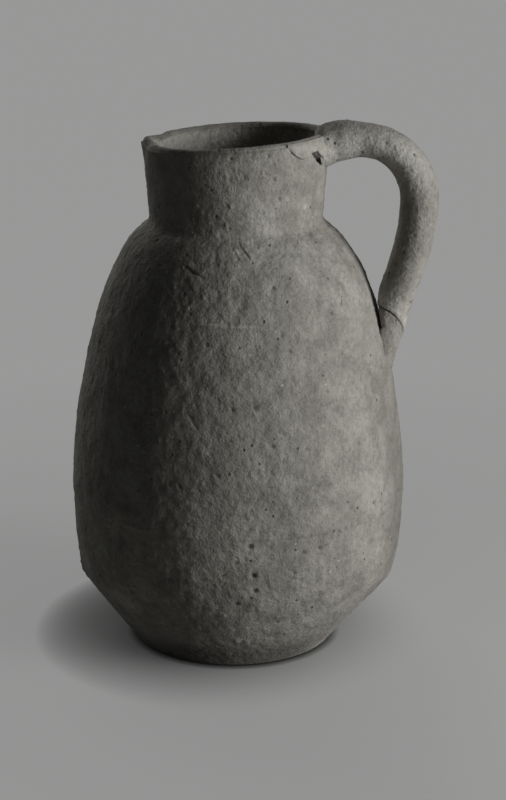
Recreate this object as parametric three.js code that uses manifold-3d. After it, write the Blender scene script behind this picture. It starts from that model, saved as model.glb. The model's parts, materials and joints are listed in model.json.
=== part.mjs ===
import * as THREE from 'three';
import { mergeVertices } from 'three/addons/utils/BufferGeometryUtils.js';
import Module from 'manifold-3d';

// One-handled jug of coarse unglazed clay, in millimetres, +Z up.
// It stands on z = 0, its turning axis is Z, the handle points to +X and the lip to -X.

// Outside of the thrown body
const baseRadius = 48.8;
const baseEdgeWear = 0.9;
const carinationRadius = 78;
const carinationHeight = 37;
const bellyRadius = 81.5;
const bellyHeight = 76.5;
const lowerBellyBulge = 80;
const lowerBellyRise = 9;
const lowerBellyEase = 19;
const upperBellyEase = 26;
const shoulderClosing = 10.6;
const shoulderSwell = bellyRadius - shoulderClosing;
const shoulderHeight = 196.8;
const shoulderEndRadius = 40.3;
const shoulderEndHeight = 208.2;
const shoulderRunIn = 10;
const slopeStep = 0.05;

// Outside of the neck and its lip
const neckRadius = 40.1;
const neckHeight = 209.5;
const neckFillet = 1.3;
const rimRadius = 43.6;
const rimHeight = 250.8;
const rimFlarePower = 1.3;
const lipThickness = 5.2;
const lipRoundHeight = 2.4;
const lipRoundSteps = 4;

// Walls and floor; the four heel sizes draw the inside's curve from the floor up to the belly
const floorThickness = 9.5;
const floorRadius = 40;
const bellyWall = 7;
const shoulderWall = 6.2;
const neckWall = 5.4;
const heelRadius = 50;
const heelHeight = 15;
const heelShoulder = 70;
const heelShoulderHeight = 26;
const heelTopHeight = 62;

// Joins between the thrown sections: height outside, height inside, and the film of slip
const slipFilm = 0.3;
const baseJoin = { outside: 8, inside: floorThickness };
const footJoin = { outside: 51, inside: 56 };
const shoulderJoin = { outside: 174.5, inside: 178.5 };
const neckJoin = { outside: 211.5, inside: 209 };

// Marks of the hand: a foot and a neck off the axis, a leaning trimmed edge, a rim that
// climbs to the handle, and a lip pinched out of the rim
const footShift = -2.3;
const footShiftEnd = 60;
const neckShift = -0.9;
const neckShiftStart = 185;
const carinationLean = 0.9;
const leanStart = 12;
const leanFadeStart = 46;
const leanFadeEnd = 105;
const rimClimb = 2.6;
const lipReach = 1.3;
const lipLift = 0.9;
const lipHalfAngle = 8;
const pinchDepth = 1.5;
const pinchAngle = 19;
const pinchHalfAngle = 8;
const lipDepth = 20;

// Handle, drawn in the plane y = 0, from inside the rim, out past the belly and into the body
const rootInset = 5.8;
const rootDrop = 4.4;
const handleStandOff = 4.9;
const handleReach = bellyRadius + handleStandOff;
const riseInset = 9.5;
const riseOverRim = 8.5;
const reachUnderRim = 28.6;
const handleReachHeight = rimHeight - reachUnderRim;
const handleBend = 10.5;
const handleDrop = 25.6;
const slopeStandOff = 13.1;
const slopeHeight = 178;
const footSunk = 12.4;
const footDrop = 42;
const footHeight = slopeHeight - footDrop;
const handleSteps = 36;
const handleSides = 20;
const rootCapLength = 6;
const rootCapShare = 0.35;

// Half thickness of the handle at shares of its length: in its plane, then across it
const handleSections = [
  [0, 10.9, 14.5],
  [0.07, 9.5, 10.8],
  [0.15, 8.3, 9],
  [0.42, 9.4, 9.6],
  [0.72, 9.1, 9.4],
  [0.86, 10.2, 10],
  [1, 11.6, 13.5],
];

// Old break near the foot of the handle, and the mending layer in it
const breakStandOff = 5.6;
const breakDrop = 15.4;
const breakHeight = slopeHeight - breakDrop;
const breakNormal = { x: 0.74, y: 0.54, z: 0.59 };
const breakDome = 70;
const breakReach = 24;
const breakRings = 3;
const breakBeyond = 175;
const mendThickness = 1.5;
const mendGap = 0.3;
const mendProud = 0.25;

// Clay luted over the rim's outside on each flank of the handle's root, as two wings
const wingStartAngle = 6;
const wingEndAngle = 50;
const wingTopDrop = 1.6;
const wingDepth = 9;
const wingEdge = 0.8;
const wingThickness = 2.1;
const wingEndPower = 5;
const wingEndShare = 0.06;
const wingPeak = 0.25;
const wingColumns = 16;
const wingRows = 6;

// Fineness
const bodySegments = 72;
const neckSegments = 96;
const curveSamples = 240;
const profileStep = 16;
const heelStep = 8;
const shoulderStep = 6;
const neckRows = 5;
const neckStep = (rimHeight - neckHeight) / neckRows;

// Fired clay, a little lighter on the luting wings and clearly lighter in the mend
const clay = { color: 0x8d877a, roughness: 0.93, metalness: 0 };
const clayLight = { color: 0x989284, roughness: 0.94, metalness: 0 };
const mendClay = { color: 0xb4ad9c, roughness: 0.9, metalness: 0 };

const wasm = await Module();
wasm.setup();

function solidOf(geometry) {
  const bare = geometry.clone();
  bare.deleteAttribute('normal');
  bare.deleteAttribute('uv');
  const merged = mergeVertices(bare, 1e-4);
  const vertProperties = Float32Array.from(merged.attributes.position.array);
  const triVerts = Uint32Array.from(merged.index.array);
  return new wasm.Manifold(new wasm.Mesh({ numProp: 3, vertProperties, triVerts }));
}

function geometryOf(solid) {
  const mesh = solid.getMesh();
  const geometry = new THREE.BufferGeometry();
  geometry.setAttribute('position', new THREE.BufferAttribute(Float32Array.from(mesh.vertProperties), 3));
  geometry.setIndex(Array.from(mesh.triVerts));
  geometry.computeVertexNormals();
  return geometry;
}

// Radius at a height, read off a curve whose height only grows
function radiusReader(points) {
  return (height) => {
    const next = points.findIndex((point) => point.y >= height);
    if (next <= 0) {
      return next === 0 ? points[0].x : points[points.length - 1].x;
    }
    const below = points[next - 1];
    const above = points[next];
    const share = (height - below.y) / (above.y - below.y);
    return THREE.MathUtils.lerp(below.x, above.x, share);
  };
}

function curveThrough(...pairs) {
  const corners = pairs.map(([radius, height]) => new THREE.Vector2(radius, height));
  return new THREE.CubicBezierCurve(...corners).getPoints(curveSamples);
}

const lowerBelly = radiusReader(curveThrough(
  [carinationRadius, carinationHeight],
  [lowerBellyBulge, carinationHeight + lowerBellyRise],
  [bellyRadius, bellyHeight - lowerBellyEase],
  [bellyRadius, bellyHeight],
));

// The shoulder curve runs on straight inside the neck, so that the fillet has both sides
function shoulderCurve() {
  const curve = curveThrough(
    [bellyRadius, bellyHeight],
    [bellyRadius, bellyHeight + upperBellyEase],
    [shoulderSwell, shoulderHeight],
    [shoulderEndRadius, shoulderEndHeight],
  );
  const slope = (shoulderEndHeight - shoulderHeight) / (shoulderSwell - shoulderEndRadius);
  const endHeight = shoulderEndHeight + shoulderRunIn * slope;
  return [...curve, new THREE.Vector2(shoulderEndRadius - shoulderRunIn, endHeight)];
}

const upperBelly = radiusReader(shoulderCurve());

function neckOutside(height) {
  const climb = Math.max(0, (height - neckHeight) / (rimHeight - neckHeight));
  return neckRadius + (rimRadius - neckRadius) * climb ** rimFlarePower;
}

// The shoulder runs into the neck with a small fillet, which is a smooth greater-of-two
function outsideRadius(height) {
  if (height <= carinationHeight) {
    return THREE.MathUtils.lerp(baseRadius, carinationRadius, height / carinationHeight);
  }
  if (height <= bellyHeight) {
    return lowerBelly(height);
  }
  const body = upperBelly(height);
  const neck = neckOutside(height);
  return (body + neck + Math.hypot(body - neck, 2 * neckFillet)) / 2;
}

function outsideSlope(height) {
  const above = outsideRadius(height + slopeStep);
  const below = outsideRadius(Math.max(0, height - slopeStep));
  return (above - below) / (2 * slopeStep);
}

function wallAt(height) {
  if (height < shoulderJoin.outside) {
    const share = THREE.MathUtils.smoothstep(height, bellyHeight, shoulderJoin.outside);
    return THREE.MathUtils.lerp(bellyWall, shoulderWall, share);
  }
  const share = THREE.MathUtils.smoothstep(height, shoulderJoin.outside, neckHeight);
  return THREE.MathUtils.lerp(shoulderWall, neckWall, share);
}

// The inside is the outside moved in by the wall, square to the surface, down to the heel
function insideCurve() {
  const heel = curveThrough(
    [floorRadius, floorThickness],
    [heelRadius, heelHeight],
    [heelShoulder, heelShoulderHeight],
    [outsideRadius(heelTopHeight) - bellyWall, heelTopHeight],
  );
  const span = rimHeight - lipRoundHeight - heelTopHeight;
  const points = [...heel];
  for (let i = 1; i <= curveSamples; i += 1) {
    const height = heelTopHeight + (span * i) / curveSamples;
    const slope = outsideSlope(height);
    const length = Math.hypot(1, slope);
    const wall = wallAt(height);
    const radius = outsideRadius(height) - wall / length;
    points.push(new THREE.Vector2(radius, height + (wall * slope) / length));
  }
  return points.filter((point, i) => i === 0 || point.y > points[i - 1].y);
}

const insideRadius = radiusReader(insideCurve());

// Marks of the hand, the same for every piece, so that the joins still meet
function settle(x, y, z) {
  const radius = Math.hypot(x, y);
  const lean = THREE.MathUtils.smoothstep(z, leanStart, carinationHeight)
    * (1 - THREE.MathUtils.smoothstep(z, leanFadeStart, leanFadeEnd));
  const shift = footShift * (1 - THREE.MathUtils.smoothstep(z, 0, footShiftEnd))
    + neckShift * THREE.MathUtils.smoothstep(z, neckShiftStart, neckHeight);
  const climb = rimClimb * THREE.MathUtils.smoothstep(z, neckHeight, rimHeight);
  const fromLip = THREE.MathUtils.radToDeg(Math.abs(Math.atan2(y, -x)));
  const nearRim = THREE.MathUtils.smoothstep(z, rimHeight - lipDepth, rimHeight) ** 2;
  const beak = Math.exp(-((fromLip / lipHalfAngle) ** 2)) * nearRim;
  const pinch = Math.exp(-(((fromLip - pinchAngle) / pinchHalfAngle) ** 2)) * nearRim;
  const outward = lipReach * beak - pinchDepth * pinch;
  const grow = radius > 0 ? (radius + outward) / radius : 1;
  const trimmed = carinationLean * lean;
  const lift = (climb * x) / rimRadius - (trimmed * x) / carinationRadius + lipLift * beak;
  return new THREE.Vector3(x * grow + shift, y * grow, z + lift);
}

function settled(geometry) {
  const place = geometry.attributes.position;
  for (let i = 0; i < place.count; i += 1) {
    const moved = settle(place.getX(i), place.getY(i), place.getZ(i));
    place.setXYZ(i, moved.x, moved.y, moved.z);
  }
  geometry.computeVertexNormals();
  return geometry;
}

function turned(outline, segments) {
  const points = outline.map(([radius, height]) => new THREE.Vector2(radius, height));
  const geometry = new THREE.LatheGeometry(points, segments);
  geometry.rotateX(Math.PI / 2);
  return settled(geometry);
}

// Heights from one end to the other, both included, about a step apart
function heightsBetween(start, end, step) {
  const count = Math.max(1, Math.round(Math.abs(end - start) / step));
  return Array.from({ length: count + 1 }, (_, i) => THREE.MathUtils.lerp(start, end, i / count));
}

function stepAt(height) {
  if (height > neckHeight) {
    return neckStep;
  }
  if (height > shoulderJoin.outside) {
    return shoulderStep;
  }
  return height < carinationHeight ? heelStep : profileStep;
}

function wallOutline(from, to, reader) {
  return heightsBetween(from, to, stepAt((from + to) / 2)).map((height) => [reader(height), height]);
}

// The outside of a ring of wall between two joins, with a corner kept at the trimmed edge
function sectionOutside(lowerJoin, upperJoin) {
  const from = lowerJoin.outside + slipFilm;
  const to = upperJoin.outside;
  if (from < carinationHeight && to > carinationHeight) {
    const trimmed = wallOutline(from, carinationHeight, outsideRadius);
    return [...trimmed, ...wallOutline(carinationHeight, to, outsideRadius).slice(1)];
  }
  return wallOutline(from, to, outsideRadius);
}

// Up the outside, then down the inside
function wallSection(lowerJoin, upperJoin) {
  const inside = wallOutline(upperJoin.inside, lowerJoin.inside + slipFilm, insideRadius);
  const outline = [...sectionOutside(lowerJoin, upperJoin), ...inside];
  return turned([...outline, outline[0]], bodySegments);
}

function baseOutside() {
  return [
    [baseRadius - baseEdgeWear, 0],
    [outsideRadius(baseEdgeWear), baseEdgeWear],
    [outsideRadius(baseJoin.outside), baseJoin.outside],
  ];
}

function baseDisc() {
  const floor = [[floorRadius, floorThickness], [0, floorThickness]];
  return turned([[0, 0], ...baseOutside(), ...floor], bodySegments);
}

// The straight part of the neck ends half a step below the rounding of its lip
const lipFoot = rimHeight - lipRoundHeight;
const lipJoin = { outside: lipFoot - neckStep / 2, inside: lipFoot - neckStep / 2 };

// The lip's top from its outer foot inwards, over a number of the half ellipse's steps
function lipArc(steps, film) {
  const middle = rimRadius - lipThickness / 2;
  return Array.from({ length: steps + 1 }, (_, i) => {
    const angle = (Math.PI * i) / lipRoundSteps;
    const radius = middle + (lipThickness / 2 + film) * Math.cos(angle);
    return [radius, lipFoot + (lipRoundHeight + film) * Math.sin(angle)];
  });
}

function neck() {
  const inside = wallOutline(lipJoin.inside, neckJoin.inside + slipFilm, insideRadius);
  const outline = [...sectionOutside(neckJoin, lipJoin), ...lipArc(lipRoundSteps, 0), ...inside];
  return turned([...outline, outline[0]], neckSegments);
}

// The whole outside, filled and grown by a film
function envelope(film) {
  const side = [
    ...baseOutside(),
    ...sectionOutside(baseJoin, footJoin),
    ...sectionOutside(footJoin, shoulderJoin),
    ...sectionOutside(shoulderJoin, neckJoin),
    ...sectionOutside(neckJoin, lipJoin),
  ];
  const grown = side.map(([radius, height]) => {
    return [radius + film * Math.hypot(1, outsideSlope(height)), height];
  });
  const top = [...lipArc(lipRoundSteps / 2, film), [0, rimHeight + film]];
  return turned([[0, 0], ...grown, ...top], neckSegments);
}

// What is luted onto the jug is cut to this
const luted = solidOf(envelope(slipFilm));

const handlePlan = new THREE.CurvePath();
handlePlan.add(new THREE.CubicBezierCurve3(
  new THREE.Vector3(rimRadius - rootInset, 0, rimHeight - rootDrop),
  new THREE.Vector3(handleReach - riseInset, 0, rimHeight + riseOverRim),
  new THREE.Vector3(handleReach, 0, handleReachHeight + handleBend),
  new THREE.Vector3(handleReach, 0, handleReachHeight),
));
handlePlan.add(new THREE.CubicBezierCurve3(
  new THREE.Vector3(handleReach, 0, handleReachHeight),
  new THREE.Vector3(handleReach, 0, handleReachHeight - handleDrop),
  new THREE.Vector3(outsideRadius(slopeHeight) + slopeStandOff, 0, slopeHeight),
  new THREE.Vector3(outsideRadius(footHeight) - footSunk, 0, footHeight),
));

function halfThickness(share) {
  const last = handleSections.length - 1;
  const next = Math.min(last, Math.max(1, handleSections.findIndex(([at]) => at >= share)));
  const [from, inPlaneA, acrossA] = handleSections[next - 1];
  const [to, inPlaneB, acrossB] = handleSections[next];
  const blend = THREE.MathUtils.smoothstep(share, from, to);
  return [THREE.MathUtils.lerp(inPlaneA, inPlaneB, blend), THREE.MathUtils.lerp(acrossA, acrossB, blend)];
}

// The pulled handle before it was cut to the jug: oval rings along its centre line
function handleCoil(extra) {
  const length = handlePlan.getLength();
  const positions = [];
  const index = [];
  for (let i = 0; i <= handleSteps; i += 1) {
    const share = i / handleSteps;
    const centre = handlePlan.getPointAt(share);
    const along = handlePlan.getTangentAt(share);
    const square = new THREE.Vector3(along.z, 0, -along.x);
    const [inPlane, across] = halfThickness(share);
    const capShare = Math.min(1, (share * length) / rootCapLength);
    const cap = THREE.MathUtils.lerp(rootCapShare, 1, Math.sqrt(1 - (1 - capShare) ** 2));
    for (let j = 0; j < handleSides; j += 1) {
      const angle = (2 * Math.PI * j) / handleSides;
      const taper = THREE.MathUtils.lerp(1, cap, Math.max(0, -Math.cos(angle)));
      const point = centre.clone().addScaledVector(square, Math.cos(angle) * (inPlane * taper + extra));
      point.y += Math.sin(angle) * (across * taper + extra);
      positions.push(point.x, point.y, point.z);
    }
  }
  for (let i = 0; i < handleSteps; i += 1) {
    for (let j = 0; j < handleSides; j += 1) {
      const a = i * handleSides + j;
      const b = i * handleSides + ((j + 1) % handleSides);
      index.push(a, b, a + handleSides, b, b + handleSides, a + handleSides);
    }
  }
  for (let j = 1; j < handleSides - 1; j += 1) {
    const end = handleSteps * handleSides;
    index.push(0, j + 1, j, end, end + j, end + j + 1);
  }
  const geometry = new THREE.BufferGeometry();
  geometry.setAttribute('position', new THREE.Float32BufferAttribute(positions, 3));
  geometry.setIndex(index);
  return solidOf(geometry);
}

// Everything on one side of the break, domed where it crosses the handle and flat beyond it
function breakSide(offset, above) {
  const rise = Array.from({ length: breakRings + 1 }, (_, i) => {
    const radius = (breakReach * i) / breakRings;
    return [radius, offset + Math.sqrt(breakDome ** 2 - radius ** 2) - breakDome];
  });
  const edge = [breakBeyond, rise[breakRings][1]];
  const far = above ? breakBeyond : -breakBeyond;
  const face = [...rise, edge];
  const outline = above
    ? [...face, [edge[0], far], [0, far]]
    : [[0, far], [edge[0], far], ...face.reverse()];
  const points = outline.map(([radius, height]) => new THREE.Vector2(radius, height));
  const geometry = new THREE.LatheGeometry(points, handleSides);
  const normal = new THREE.Vector3(breakNormal.x, breakNormal.y, breakNormal.z).normalize();
  geometry.applyQuaternion(new THREE.Quaternion().setFromUnitVectors(new THREE.Vector3(0, 1, 0), normal));
  geometry.translate(outsideRadius(breakHeight) + breakStandOff, 0, breakHeight);
  return solidOf(geometry);
}

function handleArm() {
  const below = breakSide(mendThickness / 2 + mendGap, false);
  return geometryOf(handleCoil(0).subtract(below).subtract(luted));
}

function handleStub() {
  const above = breakSide(-mendThickness / 2 - mendGap, true);
  return geometryOf(handleCoil(0).subtract(above).subtract(luted));
}

function breakMend() {
  const above = breakSide(mendThickness / 2, true);
  const below = breakSide(-mendThickness / 2, false);
  return geometryOf(handleCoil(mendProud).subtract(above).subtract(below).subtract(luted));
}

// Thickness of a wing at a share of its reach round the neck and of its way down
function wingProud(around, down) {
  const hump = Math.sqrt(Math.sin(Math.PI * THREE.MathUtils.lerp(wingPeak, 1, down)));
  return THREE.MathUtils.lerp(wingEdge, wingThickness, (1 - around ** 2) * hump);
}

// A wing is a skin on the neck, thin at its rounded end, and cut by the handle's root
function lutingWing(side) {
  const positions = [];
  const columns = wingColumns + 1;
  const rows = wingRows + 1;
  for (const outer of [true, false]) {
    for (let i = 0; i < columns; i += 1) {
      const around = i / wingColumns;
      const turn = THREE.MathUtils.lerp(wingStartAngle, wingEndAngle, around);
      const angle = side * THREE.MathUtils.degToRad(turn);
      const depth = wingDepth * Math.sqrt(Math.max(wingEndShare, 1 - around ** wingEndPower));
      for (let j = 0; j < rows; j += 1) {
        const down = j / wingRows;
        const height = rimHeight - wingTopDrop - depth * down;
        const radius = outsideRadius(height) + slipFilm + (outer ? wingProud(around, down) : 0);
        const point = settle(radius * Math.cos(angle), radius * Math.sin(angle), height);
        positions.push(point.x, point.y, point.z);
      }
    }
  }
  const at = (layer, i, j) => layer * columns * rows + i * rows + j;
  const index = [];
  const quad = (...corners) => {
    const [a, b, c, d] = side > 0 ? corners : corners.reverse();
    index.push(a, b, c, a, c, d);
  };
  for (let i = 0; i < wingColumns; i += 1) {
    const k = i + 1;
    for (let j = 0; j < wingRows; j += 1) {
      quad(at(0, i, j), at(0, i, j + 1), at(0, k, j + 1), at(0, k, j));
      quad(at(1, i, j), at(1, k, j), at(1, k, j + 1), at(1, i, j + 1));
    }
    quad(at(0, i, 0), at(0, k, 0), at(1, k, 0), at(1, i, 0));
    quad(at(0, i, wingRows), at(1, i, wingRows), at(1, k, wingRows), at(0, k, wingRows));
  }
  const end = wingColumns;
  for (let j = 0; j < wingRows; j += 1) {
    quad(at(0, 0, j), at(1, 0, j), at(1, 0, j + 1), at(0, 0, j + 1));
    quad(at(0, end, j), at(0, end, j + 1), at(1, end, j + 1), at(1, end, j));
  }
  const geometry = new THREE.BufferGeometry();
  geometry.setAttribute('position', new THREE.Float32BufferAttribute(positions, 3));
  geometry.setIndex(index);
  return geometryOf(solidOf(geometry).subtract(handleCoil(slipFilm)));
}

function piece(name, geometry, finish) {
  const mesh = new THREE.Mesh(geometry, new THREE.MeshStandardMaterial(finish));
  mesh.name = name;
  return mesh;
}

const jug = new THREE.Group();
jug.add(piece('base_disc', baseDisc(), clay));
jug.add(piece('foot_wall', wallSection(baseJoin, footJoin), clay));
jug.add(piece('belly_wall', wallSection(footJoin, shoulderJoin), clay));
jug.add(piece('shoulder_wall', wallSection(shoulderJoin, neckJoin), clay));
jug.add(piece('neck', neck(), clay));
jug.add(piece('near_luting', lutingWing(-1), clayLight));
jug.add(piece('far_luting', lutingWing(1), clayLight));
jug.add(piece('handle_arm', handleArm(), clay));
jug.add(piece('break_mend', breakMend(), mendClay));
jug.add(piece('handle_stub', handleStub(), clay));

export default jug;
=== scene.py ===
import json
import math

import bpy
import numpy as np
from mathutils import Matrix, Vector, kdtree, noise
from mathutils.geometry import interpolate_bezier

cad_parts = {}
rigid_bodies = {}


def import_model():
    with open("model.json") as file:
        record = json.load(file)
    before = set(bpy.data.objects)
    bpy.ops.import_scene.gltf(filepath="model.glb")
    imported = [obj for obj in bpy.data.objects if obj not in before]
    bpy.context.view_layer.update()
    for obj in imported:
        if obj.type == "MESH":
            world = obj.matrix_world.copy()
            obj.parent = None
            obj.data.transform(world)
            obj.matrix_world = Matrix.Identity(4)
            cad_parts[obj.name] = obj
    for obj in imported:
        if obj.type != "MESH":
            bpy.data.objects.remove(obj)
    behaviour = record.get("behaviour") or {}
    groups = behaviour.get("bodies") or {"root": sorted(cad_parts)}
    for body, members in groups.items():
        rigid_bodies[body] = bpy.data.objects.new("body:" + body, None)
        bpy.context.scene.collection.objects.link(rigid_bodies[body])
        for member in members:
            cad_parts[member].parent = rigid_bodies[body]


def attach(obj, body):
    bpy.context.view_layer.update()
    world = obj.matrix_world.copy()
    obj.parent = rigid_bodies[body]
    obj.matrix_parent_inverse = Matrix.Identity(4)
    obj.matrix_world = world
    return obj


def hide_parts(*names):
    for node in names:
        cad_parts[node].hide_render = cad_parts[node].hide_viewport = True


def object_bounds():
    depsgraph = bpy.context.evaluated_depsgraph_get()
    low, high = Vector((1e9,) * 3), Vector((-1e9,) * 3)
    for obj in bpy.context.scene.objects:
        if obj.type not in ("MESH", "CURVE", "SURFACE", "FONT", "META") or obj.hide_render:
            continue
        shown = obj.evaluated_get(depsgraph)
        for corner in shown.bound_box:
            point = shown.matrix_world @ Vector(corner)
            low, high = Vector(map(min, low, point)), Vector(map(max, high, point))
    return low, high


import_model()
cad_box = [[float(v) for v in corner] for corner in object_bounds()]

# The thrown wall. Base, foot, belly, shoulder and neck were pulled up from one lump of coarse
# clay on the wheel, and the foot was trimmed with a knife. It is made here as one wall, marked
# by hand and by age, and then parted where one stage of the work meets the next.
mm = 0.001
round_steps = 600
base_radius, base_edge = 48.8, 0.9
trim_radius, trim_height = 78, 37
worn_edge, worn_reach = 3.2, 27
band_run, belly_run = 0.785, 0.976
worn_inward, worn_upward = 0.906, 0.42
belly_radius, belly_height = 81.5, 76.5
neck_radius, neck_height, neck_fillet = 40.1, 209.5, 4.2
rim_radius, rim_height, rim_flare = 43.6, 250.8, 1.3
lip_thickness, lip_round = 5.2, 2.4
lip_foot = rim_height - lip_round
floor_radius, floor_height, heel_top = 40, 9.5, 62
heel_corner, heel_turn = (50, 15), (70, 26)
belly_thickness, shoulder_thickness, neck_thickness = 7, 6.2, 5.4
foot_shift, foot_shift_end = 2.3, 60
neck_shift, neck_shift_start = 0.9, 185
trim_lean, lean_start, lean_ease, lean_end = 0.9, 12, 46, 105
rim_climb = 2.6
beak_reach, beak_lift, beak_half_angle, beak_depth = 1.3, 0.9, 8, 20
pinch_depth, pinch_angle, pinch_half_angle = 1.5, 19, 8
base_join, foot_join, shoulder_join, neck_join = (8, 9.5), (51, 56), (174.5, 178.5), (211.5, 209)


def curve(*corners, steps=300):
    """Points along a bent line that is given by its two ends and their handles."""
    knots = [Vector((radius, height, 0)) for radius, height in corners]
    return np.array([place[:2] for place in interpolate_bezier(*knots, steps)])


lower_belly = curve(
    (trim_radius, trim_height), (80, 46), (belly_radius, 57.5), (belly_radius, belly_height),
)
upper_belly = np.vstack([
    curve((belly_radius, belly_height), (belly_radius, 102.5), (70.9, 196.8), (40.3, 208.2)),
    [[30.3, 211.93]],
])


def smooth(value, low, high):
    """Goes softly from zero at low to one at high."""
    share = np.clip((value - low) / (high - low), 0, 1)
    return share * share * (3 - 2 * share)


def outside(height):
    """The radius of the wall's outside at a height, in millimetres."""
    height = np.asarray(height, float)
    trimmed = base_radius + (trim_radius - base_radius) * height / trim_height
    low = np.interp(height, lower_belly[:, 1], lower_belly[:, 0])
    high = np.interp(height, upper_belly[:, 1], upper_belly[:, 0])
    climb = np.clip((height - neck_height) / (rim_height - neck_height), 0, None)
    neck = neck_radius + (rim_radius - neck_radius) * climb ** rim_flare
    joined = (high + neck + np.hypot(high - neck, 2 * neck_fillet)) / 2
    return np.where(height <= trim_height, trimmed, np.where(height <= belly_height, low, joined))


def inside_curve():
    """The outside moved in by the wall's thickness, with a rounded heel at the bottom."""
    height = np.linspace(heel_top, lip_foot, 600)
    step = 0.05
    slope = (outside(height + step) - outside(height - step)) / (2 * step)
    to_shoulder = smooth(height, belly_height, shoulder_join[0])
    to_neck = smooth(height, shoulder_join[0], neck_height)
    thickness = belly_thickness + (shoulder_thickness - belly_thickness) * to_shoulder
    thickness = thickness + (neck_thickness - shoulder_thickness) * to_neck
    run = np.hypot(1, slope)
    upper = np.column_stack([outside(height) - thickness / run, height + thickness * slope / run])
    heel = curve((floor_radius, floor_height), heel_corner, heel_turn, tuple(upper[0]))
    whole = np.vstack([heel[:-1], upper])
    return whole[np.concatenate([[True], np.diff(np.maximum.accumulate(whole[:, 1])) > 0])]


inner = inside_curve()


def evenly(points, step):
    """The same line with its points about a step apart."""
    points = np.array(points, float)
    run = np.concatenate([[0], np.cumsum(np.hypot(*np.diff(points, axis=0).T))])
    marks = np.linspace(0, run[-1], max(1, round(run[-1] / step)) + 1)
    return np.column_stack([np.interp(marks, run, points[:, k]) for k in (0, 1)])


def up_outside(low, high):
    height = np.linspace(low, high, 500)
    return np.column_stack([outside(height), height])


def down_inside(high, low):
    height = np.linspace(high, low, 500)
    return np.column_stack([np.interp(height, inner[:, 1], inner[:, 0]), height])


lip_turn = np.linspace(0, math.pi, 60)
lip_arc = np.column_stack([
    rim_radius - lip_thickness / 2 * (1 - np.cos(lip_turn)),
    lip_foot + lip_round * np.sin(lip_turn),
])
base_rim = base_radius - base_edge

# The outline from the middle of the underside up the outside and down the inside, stage by stage,
# each with its own spacing of rows in millimetres
stages = [
    (evenly([(0, 0), (base_rim, 0)], 3.5), "under"),
    (evenly([(base_rim, 0), (float(outside(base_edge)), base_edge)], 0.5), "edge"),
    (evenly(up_outside(base_edge, base_join[0]), 0.8), "base"),
    (evenly(up_outside(base_join[0], trim_height), 0.8), "trimmed"),
    (evenly(up_outside(trim_height, foot_join[0]), 0.8), "foot"),
    (evenly(up_outside(foot_join[0], shoulder_join[0]), 0.82), "belly"),
    (evenly(up_outside(shoulder_join[0], neck_join[0]), 0.75), "shoulder"),
    (evenly(up_outside(neck_join[0], lip_foot), 0.62), "neck"),
    (evenly(lip_arc, 0.45), "lip"),
    (evenly(down_inside(lip_foot, neck_join[1]), 0.62), "mouth"),
    (evenly(down_inside(neck_join[1], shoulder_join[1]), 3), "under shoulder"),
    (evenly(down_inside(shoulder_join[1], foot_join[1]), 12), "hollow"),
    (evenly(down_inside(foot_join[1], base_join[1]), 4), "heel"),
    (evenly([(floor_radius, floor_height), (0, floor_height)], 4), "floor"),
]
outline = [tuple(stages[0][0][0])]
ends = {}
for points, stage in stages:
    outline += [tuple(point) for point in points[1:]]
    ends[stage] = len(outline) - 1
outline = np.array(outline)


def settle(points):
    """Moves points of the wheel's true round to where the hand left them, in millimetres."""
    x, y, z = points.T
    radius = np.hypot(x, y)
    turn = np.degrees(np.arctan2(y, x))
    from_edge = np.where(z < trim_height, (trim_height - z) / band_run, (z - trim_height) / belly_run)
    in_front = smooth(turn, -152, -118), 1 - smooth(turn, -34, -4)
    worn = worn_edge * np.clip(1 - from_edge / worn_reach, 0, 1) ** 2 * in_front[0] * in_front[1]
    inward = 1 - worn_inward * worn / np.maximum(radius, 1)
    x, y, z = x * inward, y * inward, z + worn_upward * worn
    lean = trim_lean * smooth(z, lean_start, trim_height) * (1 - smooth(z, lean_ease, lean_end))
    shift = -foot_shift * (1 - smooth(z, 0, foot_shift_end))
    shift = shift - neck_shift * smooth(z, neck_shift_start, neck_height)
    from_lip = np.degrees(np.abs(np.arctan2(y, -x)))
    near_rim = smooth(z, rim_height - beak_depth, rim_height) ** 2
    beak = np.exp(-((from_lip / beak_half_angle) ** 2)) * near_rim
    pinch = np.exp(-(((from_lip - pinch_angle) / pinch_half_angle) ** 2)) * near_rim
    grow = 1 + (beak_reach * beak - pinch_depth * pinch) / np.maximum(radius, 1)
    climb = rim_climb * smooth(z, neck_height, rim_height) * x / rim_radius
    z = z + climb + beak_lift * beak - lean * x / trim_radius
    return np.column_stack([x * grow + shift, y * grow, z])


def only(piece):
    bpy.ops.object.select_all(action="DESELECT")
    piece.select_set(True)
    bpy.context.view_layer.objects.active = piece


def points_of(piece):
    flat = np.empty(len(piece.data.vertices) * 3)
    piece.data.vertices.foreach_get("co", flat)
    return flat.reshape(-1, 3)


def press(piece, points):
    piece.data.vertices.foreach_set("co", points.ravel())
    piece.data.update()


def mark(piece, name, values):
    field = piece.data.attributes.get(name) or piece.data.attributes.new(name, "FLOAT", "POINT")
    field.data.foreach_set("value", values)


def row_of(piece):
    rows = np.empty(len(piece.data.vertices), int)
    piece.data.attributes["row"].data.foreach_get("value", rows)
    return rows


def choose(piece, chosen):
    """Opens the piece in edit mode with the chosen points selected."""
    only(piece)
    bpy.ops.object.mode_set(mode="EDIT")
    bpy.ops.mesh.select_mode(type="VERT")
    bpy.ops.mesh.select_all(action="DESELECT")
    bpy.ops.object.mode_set(mode="OBJECT")
    piece.data.vertices.foreach_set("select", chosen)
    bpy.ops.object.mode_set(mode="EDIT")


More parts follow.
